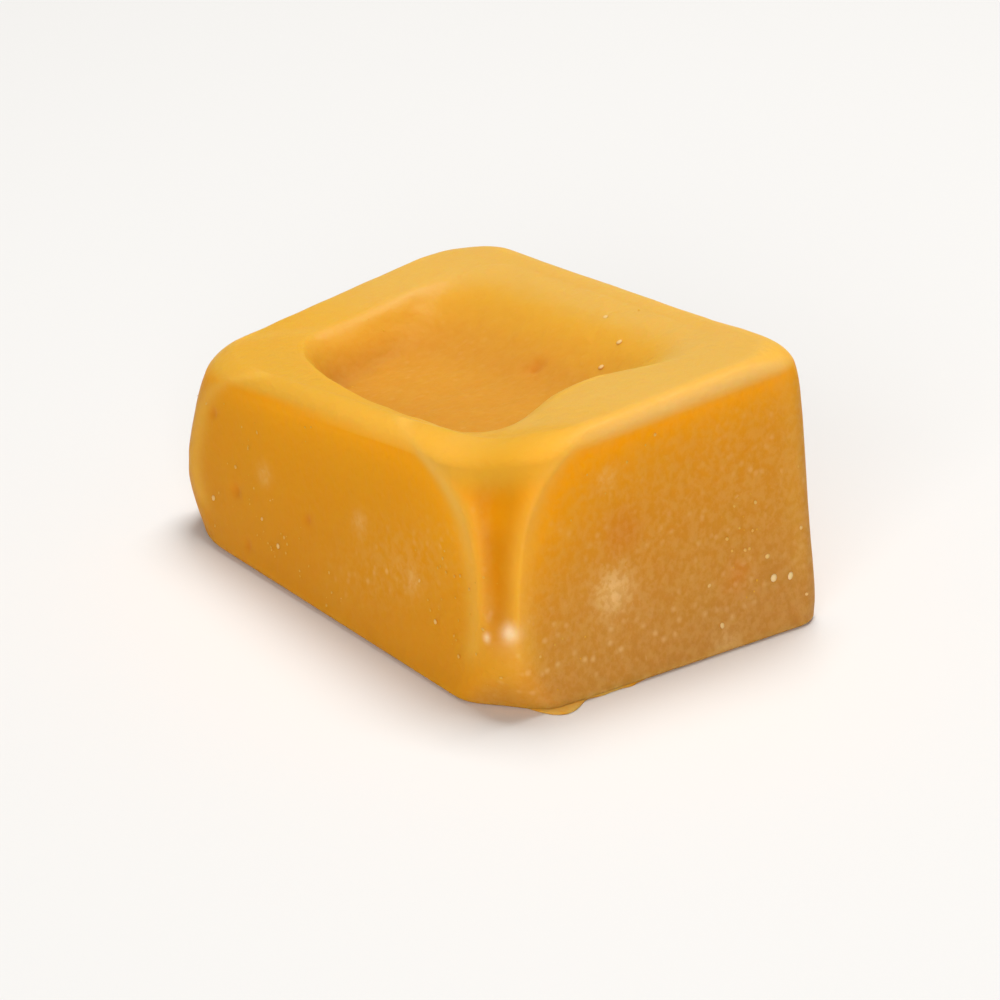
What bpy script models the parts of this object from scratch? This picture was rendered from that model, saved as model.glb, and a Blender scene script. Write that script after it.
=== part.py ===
"""A moulded caramel candy: one solid block with a dished top.

The block stands on Z = 0 with its long side along X, and the origin is the
centre of its underside. It is a loft: closed outlines, each a box with rounded
corners seen from above, are stacked from the underside up the walls, over the
rim and down into the dish, and skinned. The top is cast on a slant, so the
four corners stand at four heights.
"""

import math

import bmesh
import bpy

# Driving dimensions, in metres.
LENGTH = 0.0322
WIDTH = 0.0207

# The four corners are always given in this order, anticlockwise from above.
CORNER_SIGNS = ((1, -1), (1, 1), (-1, 1), (-1, -1))

# Height of the top at each corner, before its edge is rounded.
CREST_HEIGHTS = (0.0137, 0.0150, 0.0124, 0.0099)

# Where the near corner's groove meets the rim, the top dips by NOTCH_DEPTH.
NOTCH_CENTRE = (0.0106, -0.0070)
NOTCH_RADIUS = 0.0024
NOTCH_DEPTH = 0.00045

# How far the wall leans in between the underside and the rim, on each side.
DRAFT_X_MIN = 0.0010
DRAFT_X_MAX = 0.0012
DRAFT_Y_MIN = 0.0010
DRAFT_Y_MAX = 0.0003

# The upright corners are quarter ellipses. Their radii along X and along Y are
# given at the underside and on the wall. Towards the crest each flares by
# FLARE_X and FLARE_Y, most of it within FLARE_DEPTH of the crest, so that the
# grooves open into the rim.
BASE_RADII_X = (0.0044, 0.0017, 0.0036, 0.0058)
BASE_RADII_Y = (0.0037, 0.0017, 0.0036, 0.0058)
WALL_RADII_X = (0.00225, 0.0014, 0.0023, 0.0021)
WALL_RADII_Y = (0.0010, 0.0014, 0.0023, 0.0021)
FLARE_X = (0.0077, 0.0024, 0.0022, 0.0045)
FLARE_Y = (0.0052, 0.0024, 0.0022, 0.0014)
FLARE_DEPTH = (0.0018, 0.0009, 0.0009, 0.0009)

# Share of the wall's height over which each corner's foot turns into the wall.
FOOT_SHARES = (0.40, 0.16, 0.45, 0.55)

# The mould leaves an upright groove in the near corner, above a solid foot, and
# flattens the two corners behind. A pull of 1 draws the middle of a corner in
# to its straight chord, and more hollows it.
FOOT_PULL = (0.55, 0.0, 0.0, 0.0)
GROOVE_PULL = (1.55, 0.0, 0.30, 0.15)
FOOT_PULL_END = 0.24
GROOVE_START = (0.30, 0.43)
GROOVE_FADE = (0.0002, 0.0036)
GROOVE_LEFT_ON_CREST = 0.08

# The walls sag in a little between their corners.
WALL_SAG = 0.00022

# Edge rounding at the underside, by corner, and round the top.
BASE_ROUNDING = (0.0003, 0.0003, 0.0008, 0.0006)
TOP_ROUNDING = 0.00115

# The dish: its lip and its floor as boxes (x_min, x_max, y_min, y_max). The
# wall on the +Y side is the widest and gentlest. LIP_SAGS is how far the rim
# bulges into the dish on the +X, +Y, -X and -Y sides.
LIP_BOX = (-0.0114, 0.0106, -0.0079, 0.0083)
FLOOR_BOX = (-0.0078, 0.0061, -0.0055, 0.0006)
LIP_RADII_X = (0.0036, 0.0030, 0.0038, 0.0180)
LIP_RADII_Y = (0.0030, 0.0030, 0.0038, 0.0048)
LIP_SAGS = (0.0016, 0.0, 0.0, 0.0)
FLOOR_RADII = (0.0023, 0.0029, 0.0029, 0.0023)
LIP_DROP = 0.0001
DISH_DEPTH = 0.00275

# Mesh resolution.
ARC_STEPS = (14, 7, 8, 8)
SIDE_STEPS = (8, 12, 8, 12)
BASE_STEPS = 3
WALL_STEPS = 15
TOP_STEPS = 6
RIM_STEPS = 3
DISH_STEPS = 10
FLOOR_STEPS = 2

SMOOTH_ANGLE = math.radians(40)

CARAMEL_COLOUR = (0.70, 0.29, 0.03, 1.0)
CARAMEL_ROUGHNESS = 0.38


def clear_scene():
    """Remove whatever objects the scene holds."""
    for scene_object in list(bpy.data.objects):
        bpy.data.objects.remove(scene_object, do_unlink=True)


def caramel_material():
    """Golden brown, satin caramel."""
    material = bpy.data.materials.new("caramel")
    material.use_nodes = True
    shader = material.node_tree.nodes["Principled BSDF"]
    shader.inputs["Base Color"].default_value = CARAMEL_COLOUR
    shader.inputs["Roughness"].default_value = CARAMEL_ROUGHNESS
    shader.inputs["Metallic"].default_value = 0.0
    return material


def ease(start, end, value):
    """Smooth step from 0 at start to 1 at end."""
    share = min(max((value - start) / (end - start), 0.0), 1.0)
    return share * share * (3.0 - 2.0 * share)


def mix(first, second, share):
    """Blend two equally long tuples."""
    return tuple(a + (b - a) * share for a, b in zip(first, second))


def corner_radii(depths):
    """Radii along X and along Y of the corners, each at its depth under the crest."""
    left = [math.exp(-depth / scale) for depth, scale in zip(depths, FLARE_DEPTH)]
    return (
        tuple(wall + flare * share for wall, flare, share in zip(WALL_RADII_X, FLARE_X, left)),
        tuple(wall + flare * share for wall, flare, share in zip(WALL_RADII_Y, FLARE_Y, left)),
    )


def groove_pull(depths):
    """Pull of the corner grooves, each at its depth under the crest, where they fade."""
    return tuple(
        pull * (GROOVE_LEFT_ON_CREST + (1.0 - GROOVE_LEFT_ON_CREST) * ease(*GROOVE_FADE, depth))
        for pull, depth in zip(GROOVE_PULL, depths)
    )


def inset(box, distance):
    """A box drawn in by one distance on all sides."""
    return (box[0] + distance, box[1] - distance, box[2] + distance, box[3] - distance)


BASE_BOX = (-LENGTH / 2, LENGTH / 2, -WIDTH / 2, WIDTH / 2)
CREST_BOX = (
    BASE_BOX[0] + DRAFT_X_MIN,
    BASE_BOX[1] - DRAFT_X_MAX,
    BASE_BOX[2] + DRAFT_Y_MIN,
    BASE_BOX[3] - DRAFT_Y_MAX,
)
TOP_BOX = inset(CREST_BOX, TOP_ROUNDING)
NO_PULL = (0.0, 0.0, 0.0, 0.0)
NO_SAG = (0.0, 0.0, 0.0, 0.0)
ARC_TO_CHORD = math.sqrt(0.5) - 0.5


def over_plan(corner_values, x, y):
    """Value at a point in plan, blended between the values at the top's corners."""
    across = (x - TOP_BOX[0]) / (TOP_BOX[1] - TOP_BOX[0])
    along = (y - TOP_BOX[2]) / (TOP_BOX[3] - TOP_BOX[2])
    near = corner_values[3] * (1 - across) + corner_values[0] * across
    far = corner_values[2] * (1 - across) + corner_values[1] * across
    return near * (1 - along) + far * along


def crest_height(x, y):
    """Height of the top over a point in plan."""
    away = math.hypot(x - NOTCH_CENTRE[0], y - NOTCH_CENTRE[1]) / NOTCH_RADIUS
    return over_plan(CREST_HEIGHTS, x, y) - NOTCH_DEPTH * math.exp(-away * away)


def outline(box, radii_x, radii_y, pull=NO_PULL, sags=NO_SAG):
    """One closed outline seen from above, as (x, y, outward x, outward y).

    Each corner is a quarter ellipse whose middle is pulled in towards its
    chord. Each side between two corners sags in as a smooth swell.
    """
    arcs = []
    for corner, (sign_x, sign_y) in enumerate(CORNER_SIGNS):
        radius_x, radius_y = radii_x[corner], radii_y[corner]
        centre_x = box[1] - radius_x if sign_x > 0 else box[0] + radius_x
        centre_y = box[3] - radius_y if sign_y > 0 else box[2] + radius_y
        arc = []
        for step in range(ARC_STEPS[corner] + 1):
            share = step / ARC_STEPS[corner]
            angle = math.radians(90.0 * (corner - 1 + share))
            inward = pull[corner] * ARC_TO_CHORD * math.sin(math.pi * share) ** 2
            out_x, out_y = math.cos(angle), math.sin(angle)
            x = centre_x + radius_x * (out_x - inward * sign_x)
            y = centre_y + radius_y * (out_y - inward * sign_y)
            arc.append((x, y, out_x, out_y))
        arcs.append(arc)

    points = []
    for corner, arc in enumerate(arcs):
        points.extend(arc)
        start_x, start_y, out_x, out_y = arc[-1]
        end_x, end_y = arcs[(corner + 1) % 4][0][:2]
        steps = SIDE_STEPS[corner]
        for step in range(1, steps):
            share = step / steps
            inward = sags[corner] * (1.0 - (2.0 * share - 1.0) ** 2) ** 2
            x = start_x + (end_x - start_x) * share - inward * out_x
            y = start_y + (end_y - start_y) * share - inward * out_y
            points.append((x, y, out_x, out_y))
    return points


def underside_rings():
    """From the flat underside round the lower edge to the foot of the wall."""
    foot = outline(BASE_BOX, BASE_RADII_X, BASE_RADII_Y, FOOT_PULL)
    rings = []
    for step in range(BASE_STEPS + 1):
        turn = math.pi / 2 * step / BASE_STEPS
        ring = []
        for x, y, out_x, out_y in foot:
            rounding = over_plan(BASE_ROUNDING, x, y)
            inward = rounding * (1.0 - math.sin(turn))
            z = rounding * (1.0 - math.cos(turn))
            ring.append((x - inward * out_x, y - inward * out_y, z))
        rings.append(ring)
    return rings


def wall_radii(rise, depths):
    """Radii along X and along Y of the corners at a share of the wall's height."""
    made = []
    for base, wall in zip((BASE_RADII_X, BASE_RADII_Y), corner_radii(depths)):
        feet = [max(1.0 - rise / share, 0.0) ** 2 for share in FOOT_SHARES]
        made.append(tuple(high + (low - high) * foot for low, high, foot in zip(base, wall, feet)))
    return made


def wall_rings():
    """Up the drafted wall, with its corner grooves, to below the top edge."""
    rings = []
    for step in range(1, WALL_STEPS + 1):
        rise = step / WALL_STEPS
        box = mix(BASE_BOX, CREST_BOX, rise)
        depths = [height + (TOP_ROUNDING - height) * rise for height in CREST_HEIGHTS]
        radii_x, radii_y = wall_radii(rise, depths)
        foot = 1.0 - ease(0.0, FOOT_PULL_END, rise)
        groove = ease(*GROOVE_START, rise)
        pull = tuple(low * foot + high * groove for low, high in zip(FOOT_PULL, groove_pull(depths)))
        sags = (WALL_SAG * math.sin(math.pi * rise),) * 4
        ring = []
        for x, y, _, _ in outline(box, radii_x, radii_y, pull, sags):
            low = over_plan(BASE_ROUNDING, x, y)
            high = crest_height(x, y) - TOP_ROUNDING
            ring.append((x, y, low + (high - low) * rise))
        rings.append(ring)
    return rings


def top_radii(below, inward):
    """Radii along X and along Y of the corners, at one depth and with the outline drawn in."""
    return [tuple(radius - inward for radius in radii) for radii in corner_radii((below,) * 4)]


def top_edge_rings():
    """Round the top edge, from the wall to the crest."""
    rings = []
    for step in range(1, TOP_STEPS + 1):
        turn = math.pi / 2 * step / TOP_STEPS
        below = TOP_ROUNDING * (1.0 - math.sin(turn))
        inward = TOP_ROUNDING * (1.0 - math.cos(turn))
        radii_x, radii_y = top_radii(below, inward)
        ring = outline(inset(CREST_BOX, inward), radii_x, radii_y, groove_pull((below,) * 4))
        rings.append([(x, y, crest_height(x, y) - below) for x, y, _, _ in ring])
    return rings


def top_ring(box, radii_x, radii_y, drop, pull=NO_PULL, sags=NO_SAG):
    """One ring on the slanting top, lowered by drop."""
    ring = outline(box, radii_x, radii_y, pull, sags)
    return [(x, y, crest_height(x, y) - drop) for x, y, _, _ in ring]


def dish_rings():
    """Across the rim, down the dish's wall and in over its floor."""
    crest_x, crest_y = top_radii(0.0, TOP_ROUNDING)
    crest_pull = groove_pull((0.0,) * 4)
    rings = []
    for step in range(1, RIM_STEPS + 1):
        share = step / RIM_STEPS
        box = mix(TOP_BOX, LIP_BOX, share)
        radii_x, radii_y = mix(crest_x, LIP_RADII_X, share), mix(crest_y, LIP_RADII_Y, share)
        pull, sags = mix(crest_pull, NO_PULL, share), mix(NO_SAG, LIP_SAGS, share)
        rings.append(top_ring(box, radii_x, radii_y, LIP_DROP * share ** 2, pull, sags))
    for step in range(1, DISH_STEPS + 1):
        share = step / DISH_STEPS
        fall = 0.5 - 0.5 * math.cos(math.pi * share)
        box = mix(LIP_BOX, FLOOR_BOX, share)
        radii_x, radii_y = mix(LIP_RADII_X, FLOOR_RADII, share), mix(LIP_RADII_Y, FLOOR_RADII, share)
        drop = LIP_DROP + (DISH_DEPTH - LIP_DROP) * fall
        rings.append(top_ring(box, radii_x, radii_y, drop, NO_PULL, mix(LIP_SAGS, NO_SAG, share)))
    middle_x = (FLOOR_BOX[0] + FLOOR_BOX[1]) / 2
    middle_y = (FLOOR_BOX[2] + FLOOR_BOX[3]) / 2
    middle = (middle_x, middle_x, middle_y, middle_y)
    for step in range(1, FLOOR_STEPS + 1):
        share = step / (FLOOR_STEPS + 1)
        radii = tuple(radius * (1.0 - share) for radius in FLOOR_RADII)
        rings.append(top_ring(mix(FLOOR_BOX, middle, share), radii, radii, DISH_DEPTH))
    return rings


def skin(mesh, rings):
    """Join each ring to the next with a band of quads and close the two ends."""
    loops = [[mesh.verts.new(point) for point in ring] for ring in rings]
    for lower, upper in zip(loops, loops[1:]):
        for here in range(len(lower)):
            after = (here + 1) % len(lower)
            mesh.faces.new((lower[here], lower[after], upper[after], upper[here]))
    underside = mesh.faces.new(reversed(loops[0]))
    floor = mesh.faces.new(loops[-1])
    bmesh.ops.poke(mesh, faces=[underside, floor])


def make_candy():
    """The candy as one object named caramel."""
    rings = underside_rings() + wall_rings() + top_edge_rings() + dish_rings()
    mesh = bmesh.new()
    skin(mesh, rings)
    data = bpy.data.meshes.new("caramel")
    mesh.to_mesh(data)
    mesh.free()
    data.shade_smooth()
    data.set_sharp_from_angle(angle=SMOOTH_ANGLE)
    data.materials.append(caramel_material())
    candy = bpy.data.objects.new("caramel", data)
    bpy.context.scene.collection.objects.link(candy)
    return candy


def main():
    clear_scene()
    make_candy()


if __name__ == "__main__":
    main()
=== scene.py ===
"""A moulded caramel candy: the looks of one block of caramel with a dished top."""

import itertools
import math

import bpy
import numpy as np
from bpy.props import FloatProperty, FloatVectorProperty, PointerProperty
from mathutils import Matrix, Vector


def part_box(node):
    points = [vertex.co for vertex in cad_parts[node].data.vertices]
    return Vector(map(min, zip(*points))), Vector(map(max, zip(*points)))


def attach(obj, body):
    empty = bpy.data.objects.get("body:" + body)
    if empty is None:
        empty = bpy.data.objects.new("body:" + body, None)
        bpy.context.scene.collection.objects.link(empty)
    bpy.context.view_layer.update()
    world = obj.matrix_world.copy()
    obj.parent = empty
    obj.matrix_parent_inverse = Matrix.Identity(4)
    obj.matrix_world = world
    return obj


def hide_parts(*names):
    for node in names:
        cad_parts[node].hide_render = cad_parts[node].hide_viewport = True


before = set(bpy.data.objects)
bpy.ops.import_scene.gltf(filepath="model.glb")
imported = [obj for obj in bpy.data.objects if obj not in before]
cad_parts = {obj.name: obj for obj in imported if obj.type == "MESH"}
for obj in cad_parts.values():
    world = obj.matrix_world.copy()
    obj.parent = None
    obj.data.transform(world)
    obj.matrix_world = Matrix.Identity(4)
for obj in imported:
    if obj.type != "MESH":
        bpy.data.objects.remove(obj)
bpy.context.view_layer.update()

bl_info = {
    "name": "Caramel candy",
    "version": (1, 0, 0),
    "blender": (4, 5, 0),
    "location": "View3D > Sidebar > Caramel",
    "description": "Builds a moulded caramel candy and the table it lies on",
    "category": "Object",
}

BODY = "root"
NODE = "caramel"

NODE_LOW, NODE_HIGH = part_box(NODE)

# The four corners are always given in this order, anticlockwise from above:
# (+X -Y), the near one, then (+X +Y), (-X +Y) and (-X -Y).
CORNER_SIDE_X = (1, 1, 0, 0)
CORNER_SIDE_Y = (2, 3, 3, 2)
CORNER_SIGN_X = np.array((1.0, 1.0, -1.0, -1.0))
CORNER_SIGN_Y = np.array((-1.0, 1.0, 1.0, -1.0))
NEAR_CORNER = 0

# The stretches of the profile, in order from the middle of the underside.
UNDERSIDE, LOWER_EDGE, WALL, UPPER_EDGE, RIM, DISH, FLOOR = range(7)

# Columns round the outline and rows up the profile.
ARC_COLUMNS = (56, 22, 26, 26)
SIDE_COLUMNS = (66, 104, 66, 104)
UNDERSIDE_ROWS = 5
LOWER_EDGE_ROWS = 8
WALL_ROWS = 74
UPPER_EDGE_ROWS = 26
RIM_ROWS = 16
DISH_ROWS = 56
FLOOR_ROWS = 14

# Share of the wall's height over which each corner's foot turns into the wall.
FOOT_SHARES = np.array((0.40, 0.16, 0.45, 0.55))

# How far each corner's arc is pulled in, where 1 makes its middle as deep as
# a straight chord and more hollows it: at the foot and in the groove above.
FOOT_PULL = np.array((0.55, 0.0, 0.0, 0.0))
GROOVE_PULL = np.array((1.55, 0.0, 0.30, 0.15))

# Share of the wall's height where the foot's pull ends, and where the grooves start.
FOOT_PULL_END = 0.24
GROOVE_START = (0.30, 0.43)

# Depths under the crest between which a groove fades, and what is left of it on the crest.
GROOVE_FADE = (0.0002, 0.0036)
GROOVE_LEFT_ON_CREST = 0.08

# Where the near corner's groove meets the rim and the top dips.
NOTCH_CENTRE = (0.0106, -0.0070)

# How strong the painted highlight on the ridges beside each corner is, and how wide it is along the outline.
RIDGE_HIGHLIGHT_STRENGTHS = (0.85, 0.25, 0.3, 0.4)
RIDGE_WIDTH = 0.0008

# Depth of the pale band under the crest, a painted highlight along the top edge: near corner, -Y side and +X
# side.
HIGHLIGHT_BAND_DEPTHS = (0.0028, 0.0009, 0.0013)

# The painted glow of light through the thin caramel is full up to the first length from an edge and falls
# off over the second.
GLOW_LENGTHS = (0.0009, 0.0017)

# Noise cells of the relief: slow waves, fine pebbling and the dish's own pebbling.
WAVE_CELL, PEBBLE_CELL, DISH_CELL = 0.0055, 0.0011, 0.0009

# Crystals: how many small ones, their least radius and its spread, the faces of
# one, and how flat it is and how deep it is sunk in shares of its radius.
SMALL_CRYSTALS = 420
SMALL_RADIUS, SMALL_SPREAD = 0.00004, 0.00005
PEBBLE_SIDES = 8
PEBBLE_ROWS = 3
PEBBLE_FLATNESS = 0.3
PEBBLE_SINK = 0.17

# Where the flash reaches out as a tongue, and its ragged stretch: place and width.
FLASH_TONGUE = ((0.0161, -0.0067, 0.0), 0.0016)
FLASH_RAGGED = ((0.0161, -0.0035, 0.0), 0.0030)

# Reach of the flash where it is broken away, so that it lies inside the block.
FLASH_HIDDEN = -0.0006

# Tones laid over the block's colour one after the other: mask, strength and tone.
# ridge and outline lay painted highlights on the ridges and along the +X side's rim edge; red and pit are
# the caramel's own reddish marks.
LAYERS = (("ridge_highlight", 0.75, "ridge_highlight"), ("outline", 0.32, "speck_and_highlight"), ("red", 0.45, "red"), ("pit", 0.5, "red"))

# Strengths of the layers that the mottle group breaks up, and GLINT for the painted glints of light at the
# near foot.
CLOUD, GRAIN, BLOOM, GLINT, FRECKLE, SPECKLE = 0.09, 0.06, 0.72, 0.9, 0.5, 0.13

# Sockets of a colour Mix node.
MIX_SHARE, MIX_FIRST, MIX_SECOND, MIX_RESULT = 0, 6, 7, 2

MOTTLE = "caramel_mottle"

# Optics of all caramel: a deep red and short blue path make it glow amber.
CARAMEL_OPTICS = {
    "Metallic": 0.0,
    "IOR": 1.46,
    "Specular IOR Level": 0.02,
    "Subsurface Weight": 0.6,
    "Subsurface Radius": (1.0, 0.45, 0.12),
    "Subsurface Scale": 0.0016,
    "Coat Roughness": 0.30,
    "Coat IOR": 1.5,
}

# The point that the camera and the lights look at.
VIEW_TARGET = (0.00038, 0.00069, 0.00387)


def lengths(name, description, default):
    """A vector of lengths, one for each corner or side."""
    return FloatVectorProperty(
        name=name, description=description, default=default, size=len(default), unit="LENGTH", precision=5
    )


def length(name, description, default):
    """One length."""
    return FloatProperty(
        name=name, description=description, default=default, unit="LENGTH", precision=5
    )


def colour(name, description, default):
    """One linear colour."""
    return FloatVectorProperty(
        name=name, description=description, default=default, size=3, subtype="COLOR", min=0.0, max=1.0
    )


class CaramelForm(bpy.types.PropertyGroup):
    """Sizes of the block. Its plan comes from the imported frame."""

    draft: lengths(
        "Draft", "Lean of the walls on the -X, +X, -Y and +Y sides", (0.0010, 0.0012, 0.0010, 0.0003)
    )
    crest_heights: lengths(
        "Crest heights", "Height of the top at each corner", (0.0137, 0.0150, 0.0124, 0.0099)
    )
    base_radii_x: lengths(
        "Base radii along X", "Corner radii at the underside", (0.0044, 0.0017, 0.0036, 0.0058)
    )
    base_radii_y: lengths(
        "Base radii along Y", "Corner radii at the underside", (0.0037, 0.0017, 0.0036, 0.0058)
    )
    wall_radii_x: lengths(
        "Wall radii along X", "Corner radii half way up", (0.00225, 0.0014, 0.0023, 0.0021)
    )
    wall_radii_y: lengths(
        "Wall radii along Y", "Corner radii half way up", (0.0010, 0.0014, 0.0023, 0.0021)
    )
    flare_x: lengths(
        "Flare along X", "How much wider each corner is at the crest", (0.0077, 0.0024, 0.0022, 0.0045)
    )
    flare_y: lengths(
        "Flare along Y", "How much wider each corner is at the crest", (0.0052, 0.0024, 0.0022, 0.0014)
    )
    flare_depth: lengths(
        "Flare depth", "Depth under the crest in which a flare falls to a third",
        (0.0018, 0.0009, 0.0009, 0.0009),
    )
    wall_sag: length("Wall sag", "How far the walls sink between their corners", 0.00028)
    base_rounding: lengths(
        "Base rounding", "Edge rounding at the underside", (0.0003, 0.0003, 0.0008, 0.0006)
    )
    top_rounding: length("Top rounding", "Edge rounding round the top", 0.00115)
    lip_box: lengths(
        "Dish lip", "Lip of the dish: x from, x to, y from, y to", (-0.0114, 0.0106, -0.0079, 0.0083)
    )
    floor_box: lengths(
        "Dish floor", "Floor of the dish: x from, x to, y from, y to", (-0.0078, 0.0061, -0.0055, 0.0006)
    )
    lip_radii_x: lengths(
        "Lip radii along X", "Corner radii of the dish's lip", (0.0036, 0.0030, 0.0038, 0.0180)
    )
    lip_radii_y: lengths(
        "Lip radii along Y", "Corner radii of the dish's lip", (0.0030, 0.0030, 0.0038, 0.0048)
    )
    lip_sags: lengths(
        "Lip sags", "Bulge of the rim into the dish on the +X, +Y, -X and -Y sides", (0.0016, 0.0, 0.0, 0.0)
    )
    floor_radii: lengths(
        "Floor radii", "Corner radii of the dish's floor", (0.0023, 0.0029, 0.0029, 0.0023)
    )
    lip_drop: length("Lip drop", "Fall of the rim to the lip of the dish", 0.0001)
    notch_depth: length("Notch depth", "Dip of the rim over the near groove", 0.00045)
    notch_radius: length("Notch radius", "Distance over which that dip fades", 0.0024)
    dish_depth: length("Dish depth", "Depth of the dish under the rim", 0.00275)
    waviness: length("Waviness", "Height of the slow unevenness of all faces", 0.00010)
    peel: length("Peel", "Height of the fine pebbling", 0.000022)
    flash_width: length("Flash width", "Reach of the flash in its ragged stretch", 0.00022)
    flash_tongue: length("Flash tongue", "Reach of the flash's tongue at the near foot", 0.00060)
    flash_thickness: length("Flash thickness", "Half the thickness of the flash", 0.00009)


class CaramelColours(bpy.types.PropertyGroup):
    """Linear colours of the caramel."""

    body: colour("Body", "Ochre of the faces", (0.680, 0.262, 0.007))
    # deep is the amber of a painted glow: light shining through the thin caramel under the rim.
    deep: colour("Deep", "Saturated amber under the rim", (0.88, 0.345, 0.002))
    # groove is painted shade in the near corner's groove.
    groove: colour("Groove", "Darker amber in the near groove", (0.69, 0.235, 0.001))
    # cream is the rim's paler tone, also laid as a painted highlight on the band under the crest and the
    # ridges.
    cream_and_highlight: colour("Cream", "Pale tone of the rim", (0.70, 0.407, 0.084))
    gold: colour("Gold", "Yellower tone of the rim by the near corner", (0.72, 0.362, 0.028))
    # ridge is a painted highlight along the corners' ridges and the -Y side's rim edge.
    ridge_highlight: colour("Ridge", "Pale line of the corners' ridges", (0.90, 0.47, 0.055))
    # dull is painted shade low on the faces, at the -X end and in the dish, with a painted hazy reflection
    # on the +X face.
    shade_and_haze: colour("Dull", "Browner, hazier tone low on the +X face", (0.53, 0.232, 0.045))
    red: colour("Red", "Reddish cast of a few blotches", (0.64, 0.18, 0.012))
    # speck is the pale crystals' tone, also laid as a painted highlight along the +X side's rim edge.
    speck_and_highlight: colour("Speck", "Pale crystals", (0.90, 0.60, 0.25))
    # glint is the whitest crystals' tone, also laid as painted glints of light at the near foot.
    glint: colour("Glint", "Whitest crystals", (0.96, 0.74, 0.44))


class CaramelStage(bpy.types.PropertyGroup):
    """Table, lights and camera."""

    floor_colour: colour("Table", "Colour of the table", (0.81, 0.81, 0.81))
    key_power: FloatProperty(name="Key power", description="Overhead softbox", default=1.71, unit="POWER")
    fill_power: FloatProperty(name="Fill power", description="Front softbox", default=1.5, unit="POWER")
    world_strength: FloatProperty(name="Sky", description="Strength of the even light", default=0.2)
    view_azimuth: FloatProperty(
        name="View azimuth", description="Camera's turn round the candy", default=math.radians(55.07),
        subtype="ANGLE",
    )
    view_elevation: FloatProperty(
        name="View elevation", description="Camera's height angle", default=math.radians(24.26),
        subtype="ANGLE",
    )
    view_roll: FloatProperty(
        name="View roll", description="Camera's roll", default=math.radians(-1.14), subtype="ANGLE"
    )
    view_distance: length("View distance", "Camera's distance from the candy", 0.244)
    focal_length: FloatProperty(
        name="Focal length", description="Lens of the camera, in millimetres", default=165.0
    )


def ease(start, end, value):
    """Smooth step: 0 up to start, 1 from end, and a cubic S between."""
    share = np.clip((value - start) / (end - start), 0.0, 1.0)
    return share * share * (3.0 - 2.0 * share)


def bell(centre, width, value):
    """Bell curve of height 1 round centre."""
    return np.exp(-(((value - centre) / width) ** 2))


def mix(first, second, share):
    """Straight blend from first at 0 to second at 1."""
    return first + (second - first) * share


def lattice_noise(points, cell, seed):
    """Smooth noise from -1 to 1.

    Every node of a cubic lattice of the given cell size gets a number from an
    integer hash, and a point takes its eight nodes' numbers, weighted by an
    eased step along each axis.
    """
    scaled = points / cell
    node = np.floor(scaled).astype(np.int64)
    part = scaled - node
    part = part * part * (3.0 - 2.0 * part)
    total = np.zeros(points.shape[:-1])
    for corner in itertools.product((0, 1), repeat=3):
        key = (node + corner) @ np.array((73856093, 19349663, 83492791)) + seed * 2654435761
        key = (key ^ (key >> 13)) * 1274126177
        value = ((key >> 8) & 0xFFFF) / 32767.5 - 1.0
        weight = np.prod(np.where(np.array(corner) == 1, part, 1.0 - part), axis=-1)
        total = total + value * weight
    return total


class Columns:
    """Where each column of the surface stands round the outline.

    corner is the corner that the column's arc or side starts from, turn runs
    from 0 to 1 along an arc, and share runs from 0 to 1 along the side that
    follows, so one of the two is 0.
    """

    def __init__(self):
        corner, turn, share = [], [], []
        for index, (round_corner, side) in enumerate(zip(ARC_COLUMNS, SIDE_COLUMNS)):
            arc = np.linspace(0.0, 1.0, round_corner + 1)
            run = np.linspace(0.0, 1.0, side + 1)[1:-1]
            corner.append(np.full(len(arc) + len(run), index))
            turn.append(np.concatenate((arc, np.ones(len(run)))))
            share.append(np.concatenate((np.zeros(len(arc)), run)))
        self.corner = np.concatenate(corner)
        self.turn = np.concatenate(turn)
        self.share = np.concatenate(share)
        self.following = (self.corner + 1) % 4
        self.angle = math.pi / 2 * (self.corner - 1 + self.turn)
        self.on_arc = self.share == 0.0
        starts = np.flatnonzero(self.on_arc & (self.turn == 0.0))
        self.arc_ends = np.stack((starts, starts + np.array(ARC_COLUMNS)), axis=1)


def stretch(box, radii, pull=0.0, sag=0.0, inward=0.0, shrink=1.0, low=0.0, high=0.0, lift=0.0):
    """One stretch of the profile, as rows of station values.

    A row's outline is box with rounded corners of the radii along X and Y,
    pulled in by pull. Its height is low times the lower rounding, plus high
    times the crest height, plus lift.
    """
    rows = len(radii[0])
    wide = {"box": box, "radii_x": radii[0], "radii_y": radii[1], "pull": pull, "sag": sag}
    narrow = {"inward": inward, "shrink": shrink, "low": low, "high": high, "lift": lift}
    made = {key: np.broadcast_to(value, (rows, 4)) for key, value in wide.items()}
    for key, value in narrow.items():
        made[key] = np.broadcast_to(np.reshape(value, (-1, 1)), (rows, 1))
    return made


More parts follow.
